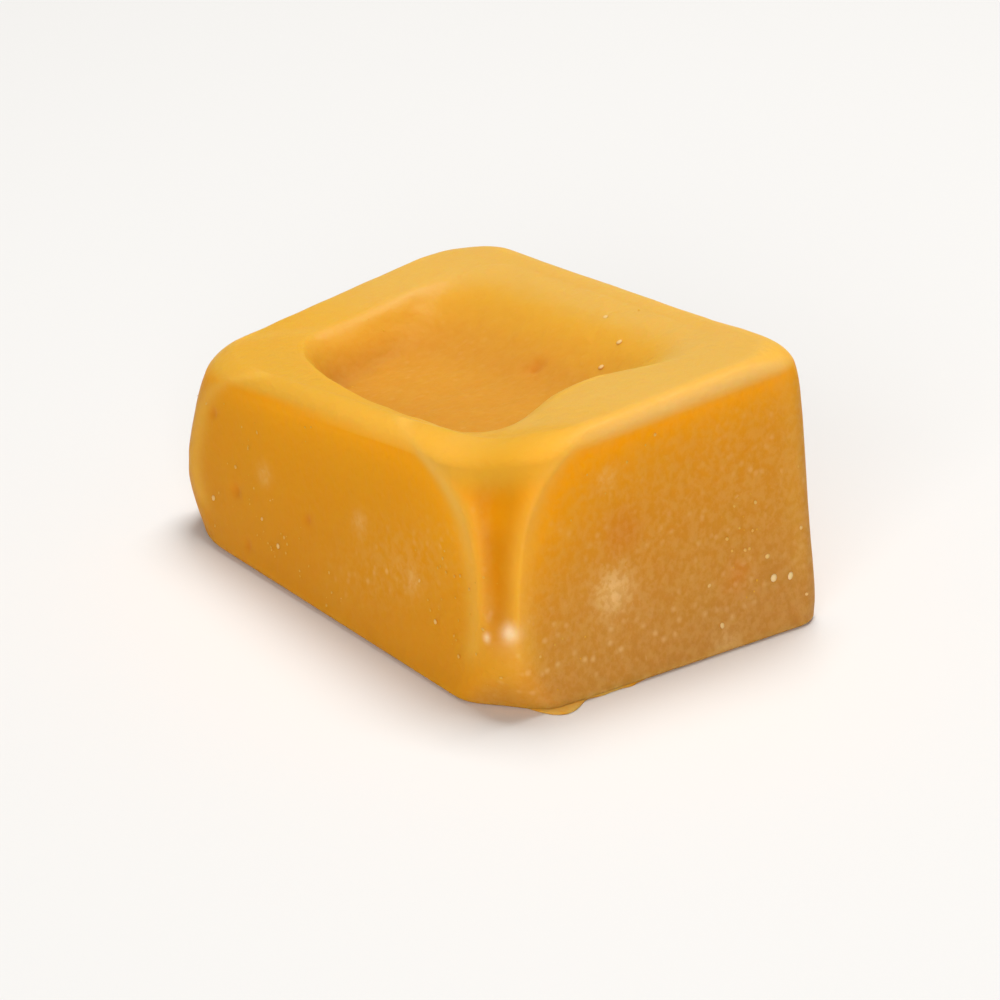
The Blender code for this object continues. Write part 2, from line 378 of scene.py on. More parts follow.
class Block:
    """The candy's surface: closed outlines stacked from the underside to the dish's floor."""

    def __init__(self, form):
        self.form = form
        self.columns = Columns()
        self.inwards = np.array((1.0, -1.0, 1.0, -1.0))
        self.base_box = np.array((NODE_LOW.x, NODE_HIGH.x, NODE_LOW.y, NODE_HIGH.y))
        self.crest_box = self.base_box + self.inwards * np.array(form.draft)
        self.top_box = self.crest_box + self.inwards * form.top_rounding
        self.make_stations()
        self.make_points()

    def over_plan(self, corner_values, x, y):
        """Value at a point in plan: a bilinear blend of the values at the top's corners."""
        across = (x - self.top_box[0]) / (self.top_box[1] - self.top_box[0])
        along = (y - self.top_box[2]) / (self.top_box[3] - self.top_box[2])
        near = mix(corner_values[3], corner_values[0], across)
        far = mix(corner_values[2], corner_values[1], across)
        return mix(near, far, along)

    def corner_radii(self, depth):
        """Radii along X and Y of the four corners at depths under the crest:
        the wall's radius plus a flare that falls off exponentially."""
        form = self.form
        left = np.exp(-depth / np.array(form.flare_depth))
        return (
            np.array(form.wall_radii_x) + np.array(form.flare_x) * left,
            np.array(form.wall_radii_y) + np.array(form.flare_y) * left,
        )

    def groove_pull(self, depth):
        """Pull of the grooves at depths under the crest, where they fade."""
        return GROOVE_PULL * mix(GROOVE_LEFT_ON_CREST, 1.0, ease(*GROOVE_FADE, depth))

    def make_stations(self):
        """Stack the stretches of the profile, from the middle of the underside to the dish."""
        form = self.form
        base = (np.array(form.base_radii_x), np.array(form.base_radii_y))
        rounding = form.top_rounding

        out = np.linspace(0.0, 1.0, UNDERSIDE_ROWS + 1)[1:-1, None]
        underside = stretch(
            self.base_box, [radii + 0 * out for radii in base], pull=FOOT_PULL, inward=1.0, shrink=out
        )

        turn = np.linspace(0.0, math.pi / 2, LOWER_EDGE_ROWS)[:, None]
        lower_edge = stretch(
            self.base_box, [radii + 0 * turn for radii in base], pull=FOOT_PULL,
            inward=1.0 - np.sin(turn), low=1.0 - np.cos(turn),
        )

        rise = np.linspace(0.0, 1.0, WALL_ROWS + 1)[1:, None]
        depth = mix(np.array(form.crest_heights), rounding, rise)
        foot = 1.0 - np.clip(1.0 - rise / FOOT_SHARES, 0.0, 1.0) ** 2
        radii = [mix(low, high, foot) for low, high in zip(base, self.corner_radii(depth))]
        pull = FOOT_PULL * (1.0 - ease(0.0, FOOT_PULL_END, rise))
        pull = pull + self.groove_pull(depth) * ease(*GROOVE_START, rise)
        wall = stretch(
            mix(self.base_box, self.crest_box, rise), radii, pull=pull,
            sag=form.wall_sag * np.sin(math.pi * rise) ** 0.7 + np.zeros(4),
            low=1.0 - rise, high=rise, lift=-rounding * rise,
        )

        share = np.linspace(0.0, 1.0, UPPER_EDGE_ROWS + 1)[1:, None]
        turn = share * math.pi / 2
        depth = rounding * (1.0 - np.sin(turn)) + np.zeros(4)
        inset = rounding * (1.0 - np.cos(turn))
        upper_edge = stretch(
            self.crest_box + self.inwards * inset, [radii - inset for radii in self.corner_radii(depth)],
            pull=self.groove_pull(depth), high=1.0, lift=-rounding * (1.0 - np.sin(turn)),
        )
        crest = [upper_edge["radii_x"][-1], upper_edge["radii_y"][-1]]
        last_pull = upper_edge["pull"][-1]

        lip_box, floor_box = np.array(form.lip_box), np.array(form.floor_box)
        lip_radii = np.array(form.lip_radii_x), np.array(form.lip_radii_y)
        lip_sags, floor_radii = np.array(form.lip_sags), np.array(form.floor_radii)
        share = np.linspace(0.0, 1.0, RIM_ROWS + 1)[1:, None]
        rim = stretch(
            mix(self.top_box, lip_box, share), [mix(top, lip, share) for top, lip in zip(crest, lip_radii)],
            pull=last_pull * (1.0 - share), sag=lip_sags * share, high=1.0,
            lift=-form.lip_drop * share ** 2,
        )

        share = np.linspace(0.0, 1.0, DISH_ROWS + 1)[1:, None]
        fall = 0.5 - 0.5 * np.cos(math.pi * share)
        dish = stretch(
            mix(lip_box, floor_box, share), [mix(lip, floor_radii, share) for lip in lip_radii],
            sag=lip_sags * (1.0 - share), high=1.0, lift=-mix(form.lip_drop, form.dish_depth, fall),
        )

        share = np.linspace(0.0, 1.0, FLOOR_ROWS + 2)[1:-1, None]
        middle_x, middle_y = (floor_box[0] + floor_box[1]) / 2, (floor_box[2] + floor_box[3]) / 2
        middle = np.array((middle_x, middle_x, middle_y, middle_y))
        floor = stretch(
            mix(floor_box, middle, share), [floor_radii * (1.0 - share)] * 2, high=1.0, lift=-form.dish_depth
        )

        parts = (underside, lower_edge, wall, upper_edge, rim, dish, floor)
        self.station = {key: np.concatenate([part[key] for part in parts]) for key in underside}
        counts = [len(part["box"]) for part in parts]
        self.part_of_row = np.repeat(np.arange(len(parts)), counts)[:, None]
        self.share_of_row = np.concatenate([np.linspace(0.0, 1.0, count) for count in counts])[:, None]

    def make_points(self):
        """Place every row and column.

        Each corner is a quarter ellipse whose middle is pulled in towards its
        chord, by a share that swells and falls as a squared sine, and each side
        runs straight from arc to arc and sinks by its sag, times the square of
        a parabola. Each row then rises to its share of the crest's height, which
        a bell curve lowers at the notch.
        """
        station, columns = self.station, self.columns
        reach_x = station["radii_x"] * CORNER_SIGN_X
        reach_y = station["radii_y"] * CORNER_SIGN_Y
        centre_x = station["box"][:, CORNER_SIDE_X] - reach_x
        centre_y = station["box"][:, CORNER_SIDE_Y] - reach_y
        out_x, out_y = np.cos(columns.angle), np.sin(columns.angle)
        here, after = columns.corner, columns.following
        pulled = station["pull"][:, here] * np.sin(math.pi * columns.turn) ** 2 * (math.sqrt(0.5) - 0.5)
        arc_x = centre_x[:, here] + station["radii_x"][:, here] * out_x - pulled * reach_x[:, here]
        arc_y = centre_y[:, here] + station["radii_y"][:, here] * out_y - pulled * reach_y[:, here]
        next_x = centre_x[:, after] + station["radii_x"][:, after] * out_x
        next_y = centre_y[:, after] + station["radii_y"][:, after] * out_y
        swell = (1.0 - (2.0 * columns.share - 1.0) ** 2) ** 2 * (columns.share > 0.0)
        sink = station["sag"][:, here] * swell
        x = mix(arc_x, next_x, columns.share) - sink * out_x
        y = mix(arc_y, next_y, columns.share) - sink * out_y

        rounding = self.over_plan(np.array(self.form.base_rounding), x, y)
        x = (x - rounding * station["inward"] * out_x) * station["shrink"]
        y = (y - rounding * station["inward"] * out_y) * station["shrink"]
        to_notch = np.hypot(x - NOTCH_CENTRE[0], y - NOTCH_CENTRE[1])
        crest = self.over_plan(np.array(self.form.crest_heights), x, y)
        crest = crest - self.form.notch_depth * bell(0.0, self.form.notch_radius, to_notch)
        z = station["low"] * rounding + station["high"] * crest + station["lift"]
        self.points = np.stack((x, y, z), axis=-1)
        self.below_crest = crest - z
        self.normals = grid_normals(self.points)


def grid_normals(points):
    """Outward unit normals of a grid that closes round its columns: the cross
    product of the step to the next column and the step to the next row."""
    along = np.roll(points, -1, axis=1) - np.roll(points, 1, axis=1)
    up = np.gradient(points, axis=0)
    normals = np.cross(along, up)
    return normals / np.maximum(np.linalg.norm(normals, axis=-1, keepdims=True), 1e-12)


def tube_faces(rows, columns, closed=False):
    """Quads between neighbouring rows of a grid that closes round its columns, and
    from the last row back to the first if it is closed."""
    row, column = np.meshgrid(np.arange(rows if closed else rows - 1), np.arange(columns), indexing="ij")
    here, above = row * columns, (row + 1) % rows * columns
    after = (column + 1) % columns
    quads = np.stack((here + column, here + after, above + after, above + column), axis=-1)
    return quads.reshape(-1, 4)


def fan_faces(ring, pole):
    """Triangles from a closed ring of vertices to one pole."""
    return np.stack((ring, np.roll(ring, -1), np.full(len(ring), pole)), axis=-1)


def new_object(name, points, faces, material, attributes=None):
    """A smooth shaded object with its place in its mesh, riding on the candy's body."""
    mesh = bpy.data.meshes.new(name)
    mesh.from_pydata(np.asarray(points).tolist(), [], [face for block in faces for face in block.tolist()])
    mesh.shade_smooth()
    mesh.materials.append(material)
    for key, values in (attributes or {}).items():
        layer = mesh.attributes.new(key, "FLOAT", "POINT")
        layer.data.foreach_set("value", np.ascontiguousarray(values, dtype=np.float32))
    mesh.update()
    made = bpy.data.objects.new(name, mesh)
    bpy.context.scene.collection.objects.link(made)
    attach(made, BODY)
    return made


# Marks on the faces, in metres: place on the surface and radius, and the pits' depth.
PITS = (
    ((-0.0092, -0.0099, 0.0039), 0.00045, 0.00018),
    ((-0.0077, -0.0102, 0.0013), 0.00032, 0.00013),
    ((-0.0118, -0.0095, 0.0075), 0.00036, 0.00013),
    ((-0.0024, -0.0097, 0.0046), 0.00032, 0.00010),
    ((0.0101, -0.0065, 0.0133), 0.00042, 0.00014),
    ((0.0006, 0.0029, 0.0109), 0.00060, 0.00014),
)
BLOOMS = (((0.0154, -0.0030, 0.0052), 0.00115),)
FAINT_BLOOMS = (
    ((0.0150, -0.0030, 0.0113), 0.00050),
    ((0.0160, 0.0038, 0.0005), 0.00090),
    ((-0.0066, -0.0096, 0.0057), 0.00055),
    ((0.0024, -0.0096, 0.0061), 0.00060),
    ((0.0076, -0.0098, 0.0048), 0.00060),
)
RED_BLOTCHES = (((0.0151, -0.0022, 0.0082), 0.0012), ((0.0156, 0.0048, 0.0040), 0.0008))
# Painted glints of light on the near foot's ledge: place and radius.
PAINTED_GLINTS = (((0.01416, -0.00984, 0.00418), 0.00022), ((0.01526, -0.00922, 0.00467), 0.00044))
CRYSTALS = (
    ((0.0157, 0.0071, 0.0032), 0.00018), ((0.0158, 0.0082, 0.0030), 0.00018),
    ((0.0158, 0.0037, 0.0016), 0.00015), ((0.0156, 0.0089, 0.0054), 0.00013),
    ((0.0156, 0.0029, 0.0039), 0.00012), ((0.0155, 0.0005, 0.0044), 0.00012),
    ((0.0155, 0.0054, 0.0052), 0.00010), ((0.0156, 0.0068, 0.0045), 0.00012),
    ((0.0153, 0.0062, 0.0076), 0.00010), ((0.0153, -0.0010, 0.0061), 0.00013),
    ((0.0159, 0.0091, 0.0018), 0.00014), ((0.0157, -0.0005, 0.0029), 0.00011),
    ((0.0095, 0.0086, 0.0146), 0.00022), ((0.0017, 0.0067, 0.0133), 0.00014),
    ((0.0044, 0.0057, 0.0131), 0.00014), ((0.0048, 0.0042, 0.0122), 0.00014),
    ((-0.0065, -0.0099, 0.0032), 0.00013), ((-0.0050, -0.0101, 0.0023), 0.00013),
    ((0.0037, -0.0096, 0.0068), 0.00012), ((-0.0113, -0.0101, 0.0027), 0.00013),
    ((0.0082, -0.0098, 0.0050), 0.00011), ((0.0098, -0.0100, 0.0034), 0.00012),
)


def spots(points, marks):
    """Sum of soft round spots: a bell curve of the distance from each mark's place."""
    total = np.zeros(points.shape[:-1])
    for place, radius in marks:
        total = total + bell(0.0, radius, np.linalg.norm(points - np.array(place), axis=-1))
    return np.minimum(total, 1.0)


def distance_to_arc_ends(block):
    """How far each point is along its outline from the nearer end of each corner's arc."""
    step = np.linalg.norm(np.roll(block.points, -1, axis=1) - block.points, axis=-1)
    along = np.cumsum(step, axis=1) - step
    gap = np.abs(along[:, :, None, None] - along[:, block.columns.arc_ends][:, None])
    return np.minimum(gap, step.sum(axis=1)[:, None, None, None] - gap).min(axis=-1)


def tone_masks(block):
    """Masks from 0 to 1 that colour the block, worked out from its own profile.

    ridge is a painted highlight: a bell curve of the distance along the
    outline from the end of each arc, with a painted highlight streak on the
    -Y side's rim edge. warmth is a painted glow of light shining through the
    thin caramel: it falls off exponentially with the distance from the band
    under the crest and from the near groove's ridges, and is weaker towards
    the -X end. groove is painted shade in the near corner's hollow, with two
    darker patches in it. cream is the paler tone of the rim and, as a painted
    highlight, of the band under the crest and the ridges, with painted light
    on the near foot, and gold turns it yellower towards the near corner. dull
    is painted shade that grows towards the foot, most of all on the +X face,
    and towards the -X end and in the dish, with a painted hazy reflection on
    the +X face, where speckled lets pale grains show. outline is a painted
    highlight, a half sine across the +X side's rim edge. gloss is where the
    surface shines: the rim's edge, the ridges and the near foot's ledge.
    """
    columns, part, share = block.columns, block.part_of_row, block.share_of_row
    x, y, z = np.moveaxis(block.points, -1, 0)
    rise = np.where(part < WALL, 0.0, np.where(part == WALL, share, 1.0))
    below = block.below_crest
    outside = part <= UPPER_EDGE
    near_arc = columns.on_arc & (columns.corner == NEAR_CORNER)

    to_ends = distance_to_arc_ends(block)
    # ridge: a painted highlight along the corners' ridges, weaker towards the +X side.
    ridge_highlight = (bell(0.0, RIDGE_WIDTH, to_ends) * np.array(RIDGE_HIGHLIGHT_STRENGTHS)).max(axis=-1)
    ridge_highlight = ridge_highlight * ease(0.10, 0.26, rise) * (1.0 - 0.5 * ease(0.0105, 0.0135, x))

    facing = ease(0.25, 0.9, block.normals[..., 0])
    band_end = np.where(near_arc, HIGHLIGHT_BAND_DEPTHS[0], mix(*HIGHLIGHT_BAND_DEPTHS[1:], facing))
    under_edge = np.maximum(below - 0.3 * band_end, 0.0)
    beside_ridge = to_ends[..., NEAR_CORNER] + 0.7 * np.maximum(below - 0.0045, 0.0)
    to_edge = under_edge * beside_ridge / np.maximum(under_edge + beside_ridge, 1e-9)
    full, fall = GLOW_LENGTHS
    # warmth: a painted glow of light shining through the thin caramel, strongest just under the crest and
    # beside the near groove's ridges.
    band = mix(0.6, 1.0, ease(0.0, 0.00035, to_edge)) * np.exp(-np.maximum(to_edge - full, 0.0) / fall)
    # The painted glow is weaker towards the -X end, as painted shade there.
    lit_end = mix(0.35, 1.0, ease(-0.015, -0.004, x))

    across = bell(0.5, 0.26, columns.turn)
    hollow = near_arc * across * ease(0.26, 0.36, rise) * ease(0.0012, 0.0030, below)
    painted_glow = band * np.where(near_arc, 1.0 - across, lit_end)
    painted_glow = outside * np.maximum(painted_glow, 0.8 * hollow * ease(0.0082, 0.0100, z))
    # The near groove's hollow is painted darker, as painted shade, most of all in two patches.
    patches = 0.40 + 0.60 * np.maximum(bell(0.0073, 0.0018, z), 0.3 * bell(0.0111, 0.0006, z))
    groove = np.where(outside, hollow * patches, 0.0)

    # cream: the rim's paler tone, with a painted highlight on the band under the crest and the ridges, and
    # painted light on the near foot.
    foot = near_arc * bell(0.5, 0.45, columns.turn) * bell(0.2, 0.12, rise)
    edge = 1.0 - ease(0.0, 1.0, (below - 0.4 * band_end) / (0.6 * band_end))
    sunk = ease(0.0002, 0.0024, below)
    cream_and_highlight = np.where(outside, np.maximum(np.maximum(ridge_highlight, 0.5 * foot), edge), mix(0.95, 0.15, sunk))
    to_near = np.hypot(x - NODE_HIGH.x, y - NODE_LOW.y)
    near_side = 0.8 * ease(0.0045, -0.0045, y) * ease(0.0110, 0.0080, x)
    gold = np.maximum(1.0 - ease(0.004, 0.011, to_near), near_side)
    gold = mix(gold * (1.0 - ridge_highlight), 0.8, (part >= DISH) * ease(0.0001, 0.0008, below))

    # dull: painted shade that grows towards the foot and the -X end and lies in the dish, with a painted
    # hazy reflection on the +X face.
    low = 1.0 - ease(0.0, 0.78, rise)
    shaded = 0.18 * low + 0.12 * ease(-0.002, -0.013, x)
    low = mix(shaded, 0.35 + 0.65 * low, facing)
    shade_and_haze = np.where(outside, low * (1.0 - 0.6 * foot), 0.55 * (part >= DISH) * sunk)
    beside_groove = bell(0.0, 0.0035, (x - 0.0062) - 1.1 * (z - 0.0052)) * bell(0.0052, 0.0030, z)
    on_faces = np.maximum(facing * (1.0 - 0.7 * painted_glow), 0.8 * beside_groove * (1.0 - facing))
    speckled = np.where(outside, on_faces, 0.25) * (1.0 - cream_and_highlight) * (1.0 - groove)

    # outline: a painted highlight along the +X side's rim edge, fading towards the near corner.
    off_corner = mix(0.2, 1.0, ease(-0.0055, -0.0022, y)) * (1.0 - 0.7 * near_arc * across)
    rim_highlight = (part == UPPER_EDGE) * np.sin(math.pi * share) * facing * off_corner
    # A painted highlight streak along the -Y side's rim edge, laid with the ridge tone.
    streak = (part == UPPER_EDGE) * np.sin(math.pi * share ** 0.6) * (1.0 - facing) * ease(-0.008, 0.006, x)
    streak = streak * (1.0 - near_arc * across)
    ledge = near_arc * across * bell(0.33, 0.08, rise)
    turned = 0.22 * np.sin(math.pi * share) * mix(0.5, 1.0, facing) * off_corner
    turned = (part == UPPER_EDGE) * np.maximum(turned, 0.10 * ease(0.3, 1.0, share))
    lip = np.where(part >= RIM, 0.10 * (1.0 - sunk), turned)
    gloss = np.maximum(np.maximum(lip, 0.15 * ridge_highlight * outside), 0.7 * ledge)
    return {
        "painted_glow": painted_glow, "groove": groove, "cream_and_highlight": cream_and_highlight, "gold": gold, "shade_and_haze": shade_and_haze,
        "speckled": speckled, "outline": rim_highlight, "gloss": np.minimum(gloss, 1.0),
        "ridge_highlight": np.maximum(ridge_highlight * outside, streak),
        "red": spots(block.points, RED_BLOTCHES),
        "bloom": np.maximum(spots(block.points, BLOOMS), 0.4 * spots(block.points, FAINT_BLOOMS)),
        "glint": spots(block.points, PAINTED_GLINTS),
        "pit": spots(block.points, [(place, radius) for place, radius, _ in PITS]),
    }


def relief(block):
    """Heights along the normals: noise for slow waves and fine pebbling, less a
    bell curve at each pit.

    The underside and its edge stay as they are, so that the candy rests as the
    solid does.
    """
    form, points = block.form, block.points
    height = form.waviness * lattice_noise(points, WAVE_CELL, 11)
    height = height + form.peel * lattice_noise(points, PEBBLE_CELL, 12)
    height = height + 2.0 * form.peel * lattice_noise(points, DISH_CELL, 13) * (block.part_of_row >= DISH)
    for place, radius, depth in PITS:
        height = height - depth * spots(points, ((place, 0.8 * radius),))
    clear = ease(0.0003, 0.0012, points[..., 2]) * (block.part_of_row >= WALL)
    return height * clear


def block_object(form, material):
    """The dressed block: the candy's surface with its relief, closed by two poles."""
    block = Block(form)
    masks = tone_masks(block)
    placed = block.points + block.normals * relief(block)[..., None]
    rows, columns = placed.shape[:2]
    bottom, top = placed[0].mean(axis=0), placed[-1].mean(axis=0)
    points = np.concatenate((placed.reshape(-1, 3), bottom[None], top[None]))
    first_ring = np.arange(columns)
    last_ring = first_ring + (rows - 1) * columns
    faces = (
        tube_faces(rows, columns),
        fan_faces(first_ring[::-1], rows * columns),
        fan_faces(last_ring, rows * columns + 1),
    )
    attributes = {
        key: np.append(values.reshape(-1), (values[0, 0], values[-1, 0])) for key, values in masks.items()
    }
    made = new_object("caramel_block", points, faces, material, attributes)
    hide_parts(NODE)
    return made


def surface_lookup(block, places):
    """The surface point and normal nearest to each place."""
    points = block.points.reshape(-1, 3)
    normals = block.normals.reshape(-1, 3)
    distance = np.linalg.norm(points[None] - np.asarray(places)[:, None], axis=-1)
    nearest = distance.argmin(axis=1)
    return points[nearest], normals[nearest]


def scattered_crystals(block, count, seed):
    """Places and radii of small crystals, drawn by area times a clumpy density on the walls."""
    rng = np.random.default_rng(seed)
    along = np.roll(block.points, -1, axis=1) - block.points
    up = np.gradient(block.points, axis=0)
    area = np.linalg.norm(np.cross(along, up), axis=-1)
    clumps = ease(-0.1, 0.8, lattice_noise(block.points, 0.0045, 23)) + 0.05
    on_wall = (block.part_of_row == WALL) * ease(0.0, 0.15, block.share_of_row)
    on_wall = on_wall * (1.0 - 0.8 * ease(0.75, 1.0, block.share_of_row))
    in_dish = 0.15 * (block.part_of_row >= DISH)
    chance = (area * clumps * (on_wall + in_dish)).reshape(-1)
    picked = rng.choice(len(chance), size=count, replace=False, p=chance / chance.sum())
    radii = SMALL_RADIUS + SMALL_SPREAD * rng.uniform(0.0, 1.0, size=count) ** 1.5
    return block.points.reshape(-1, 3)[picked], radii


def pebbles(places, normals, radii, seed):
    """Joined low pebbles: one small sphere of latitude rows and longitude columns,
    flattened along each surface normal, stretched a little by chance and sunk past
    its middle, so that only a low cap shows."""
    rng = np.random.default_rng(seed)
    around = np.linspace(0.0, 2 * math.pi, PEBBLE_SIDES, endpoint=False)
    down = np.linspace(0.0, math.pi, PEBBLE_ROWS + 2)[1:-1]
    ring = np.stack(
        (
            np.sin(down)[:, None] * np.cos(around), np.sin(down)[:, None] * np.sin(around),
            np.cos(down)[:, None] * np.ones_like(around),
        ),
        axis=-1,
    ).reshape(-1, 3)
    unit = np.concatenate((ring, ((0.0, 0.0, 1.0), (0.0, 0.0, -1.0))))
    unit_faces = (
        tube_faces(PEBBLE_ROWS, PEBBLE_SIDES)[:, ::-1],
        fan_faces(np.arange(PEBBLE_SIDES), len(ring)),
        fan_faces(np.arange(PEBBLE_SIDES)[::-1] + len(ring) - PEBBLE_SIDES, len(ring) + 1),
    )
    side = np.cross(normals, rng.normal(size=normals.shape))
    side = side / np.linalg.norm(side, axis=1, keepdims=True)
    cross = np.cross(normals, side)
    spread = rng.uniform(0.8, 1.3, size=(len(radii), 2))
    size = np.asarray(radii)[:, None]
    frames = np.stack((side * spread[:, :1], cross * spread[:, 1:], normals * PEBBLE_FLATNESS), axis=1)
    points = np.einsum("pk,nkc->npc", unit, frames * size[:, None])
    points = points + (np.asarray(places) - normals * size * PEBBLE_SINK)[:, None]
    offsets = np.arange(len(radii)) * len(unit)
    faces = [(block[None] + offsets[:, None, None]).reshape(-1, block.shape[1]) for block in unit_faces]
    return points.reshape(-1, 3), faces


def crystals_object(form, material):
    """The pale crystals that show on the faces: the large ones listed, small ones scattered."""
    block = Block(form)
    small_places, small_radii = scattered_crystals(block, SMALL_CRYSTALS, seed=31)
    places = np.concatenate((np.array([place for place, _ in CRYSTALS]), small_places))
    radii = np.concatenate((np.array([radius for _, radius in CRYSTALS]), small_radii))
    points, normals = surface_lookup(block, places)
    placed, faces = pebbles(points, normals, radii, seed=32)
    whiteness = 0.8 * ease(0.00003, 0.00024, radii)
    attributes = {"whiteness": np.repeat(whiteness, len(placed) // len(radii))}
    return new_object("caramel_crystals", placed, faces, material, attributes)


def flash_object(form, material):
    """The thin ragged flash that the mould leaves round the foot.

    A flat closed loop of six points is carried round the base outline. Its
    reach past the outline is a base width plus noise, with one wide tongue at
    the near foot, and dips under the surface where the flash is broken away.
    """
    block = Block(form)
    row = UNDERSIDE_ROWS - 1 + LOWER_EDGE_ROWS - 1
    outline = block.points[row].copy()
    out = np.stack((np.cos(block.columns.angle), np.sin(block.columns.angle), 0 * outline[:, 0]), axis=-1)
    outline[:, 2] = 0.0
    noise = lattice_noise(outline, 0.0016, 41) + 0.5 * lattice_noise(outline, 0.0006, 42)
    ragged_reach = form.flash_width * (0.1 + 1.3 * noise)
    broken = mix(FLASH_HIDDEN, ragged_reach, spots(outline, (FLASH_RAGGED,)))
    width = np.maximum(broken, mix(FLASH_HIDDEN, form.flash_tongue, spots(outline, (FLASH_TONGUE,))))
    thick = form.flash_thickness
    inner = -0.0009
    section = (
        (inner, 0.0, 2.6), (-0.00035, 0.0, 2.0), (0.0, 0.75, 1.1), (0.0, 1.0, 0.55), (0.0, 0.95, 0.0),
        (inner, 0.0, 0.0),
    )
    loops = [outline + out * (start + reach * width)[:, None] + np.array((0, 0, level * thick))
             for start, reach, level in section]
    faces = tube_faces(len(loops), len(outline), closed=True)[:, (0, 3, 2, 1)]
    return new_object("caramel_flash", np.concatenate(loops), (faces,), material)


def add_node(tree, kind, place, **settings):
    """One node at a place in the editor, with its settings."""
    made = tree.nodes.new(kind)
    made.location = place
    for key, value in settings.items():
        setattr(made, key, value)
    return made


def blend_colour(tree, place, share, first, second):
    """A colour Mix node fed by sockets or plain values. Returns its colour output."""
    made = add_node(tree, "ShaderNodeMix", place, data_type="RGBA")
    for index, value in ((MIX_SHARE, share), (MIX_FIRST, first), (MIX_SECOND, second)):
        if isinstance(value, bpy.types.NodeSocket):
            tree.links.new(value, made.inputs[index])
        else:
            made.inputs[index].default_value = value
    return made.outputs[MIX_RESULT]


def do_maths(tree, place, operation, *values):
    """A Math node fed by sockets or numbers. Returns its output."""
    made = add_node(tree, "ShaderNodeMath", place, operation=operation)
    for socket, value in zip(made.inputs, values):
        if isinstance(value, bpy.types.NodeSocket):
            tree.links.new(value, socket)
        else:
            socket.default_value = value
    return made.outputs[0]


def map_range(tree, place, value, start, end, low, high):
    """A clamped, eased Map Range node. Returns its output."""
    made = add_node(tree, "ShaderNodeMapRange", place, interpolation_type="SMOOTHSTEP")
    tree.links.new(value, made.inputs["Value"])
    for key, number in (("From Min", start), ("From Max", end), ("To Min", low), ("To Max", high)):
        made.inputs[key].default_value = number
    return made.outputs["Result"]


def mottle_group():
    """Shader node group of boiled sugar: slow clouds, fine pale freckles and a pebbled grain.

    Its inputs are counts for each metre. Its outputs are three masks and a height.
    """
    group = bpy.data.node_groups.get(MOTTLE)
    if group:
        return group
    group = bpy.data.node_groups.new(MOTTLE, "ShaderNodeTree")
    for key in ("Clouds", "Freckles", "Pebbles"):
        group.interface.new_socket(name=key, in_out="INPUT", socket_type="NodeSocketFloat")
    for key in ("Cloud", "Freckle", "Grain", "Height"):
        group.interface.new_socket(name=key, in_out="OUTPUT", socket_type="NodeSocketFloat")
    source = add_node(group, "NodeGroupInput", (-900, 0))
    result = add_node(group, "NodeGroupOutput", (700, 0))
    place = add_node(group, "ShaderNodeTexCoord", (-900, -300)).outputs["Object"]

    clouds = add_node(group, "ShaderNodeTexNoise", (-600, 300))
    clouds.inputs["Detail"].default_value = 3.0
    clouds.inputs["Roughness"].default_value = 0.55
    group.links.new(place, clouds.inputs["Vector"])
    group.links.new(source.outputs["Clouds"], clouds.inputs["Scale"])
    cloud = map_range(group, (-300, 300), clouds.outputs["Fac"], 0.34, 0.66, 0.0, 1.0)
    group.links.new(cloud, result.inputs["Cloud"])

    cells = add_node(group, "ShaderNodeTexVoronoi", (-600, 0), feature="F1")
    group.links.new(place, cells.inputs["Vector"])
    group.links.new(source.outputs["Freckles"], cells.inputs["Scale"])
    dots = map_range(group, (-300, 0), cells.outputs["Distance"], 0.02, 0.46, 1.0, 0.0)
    chosen = add_node(group, "ShaderNodeSeparateColor", (-300, -150))
    group.links.new(cells.outputs["Color"], chosen.inputs["Color"])
    rare = map_range(group, (-100, -150), chosen.outputs["Red"], 0.20, 1.0, 0.0, 1.0)
    some = do_maths(group, (100, 0), "MULTIPLY", dots, rare)
    patchy = map_range(group, (100, 200), clouds.outputs["Fac"], 0.34, 0.66, 0.35, 1.0)
    freckle = do_maths(group, (300, 0), "MULTIPLY", some, patchy)
    group.links.new(freckle, result.inputs["Freckle"])

    peel = add_node(group, "ShaderNodeTexVoronoi", (-600, -350), feature="SMOOTH_F1")
    peel.inputs["Smoothness"].default_value = 0.7
    group.links.new(place, peel.inputs["Vector"])
    group.links.new(source.outputs["Pebbles"], peel.inputs["Scale"])
    fine = add_node(group, "ShaderNodeTexNoise", (-600, -600))
    fine.inputs["Detail"].default_value = 4.0
    fine.inputs["Roughness"].default_value = 0.6
    group.links.new(place, fine.inputs["Vector"])
    group.links.new(source.outputs["Pebbles"], fine.inputs["Scale"])
    grain = map_range(group, (-300, -600), fine.outputs["Fac"], 0.36, 0.64, 0.0, 1.0)
    group.links.new(grain, result.inputs["Grain"])
    lifted = do_maths(group, (-300, -350), "MULTIPLY", peel.outputs["Distance"], -0.6)
    height = do_maths(group, (-100, -450), "ADD", lifted, fine.outputs["Fac"])
    group.links.new(height, result.inputs["Height"])
    return group


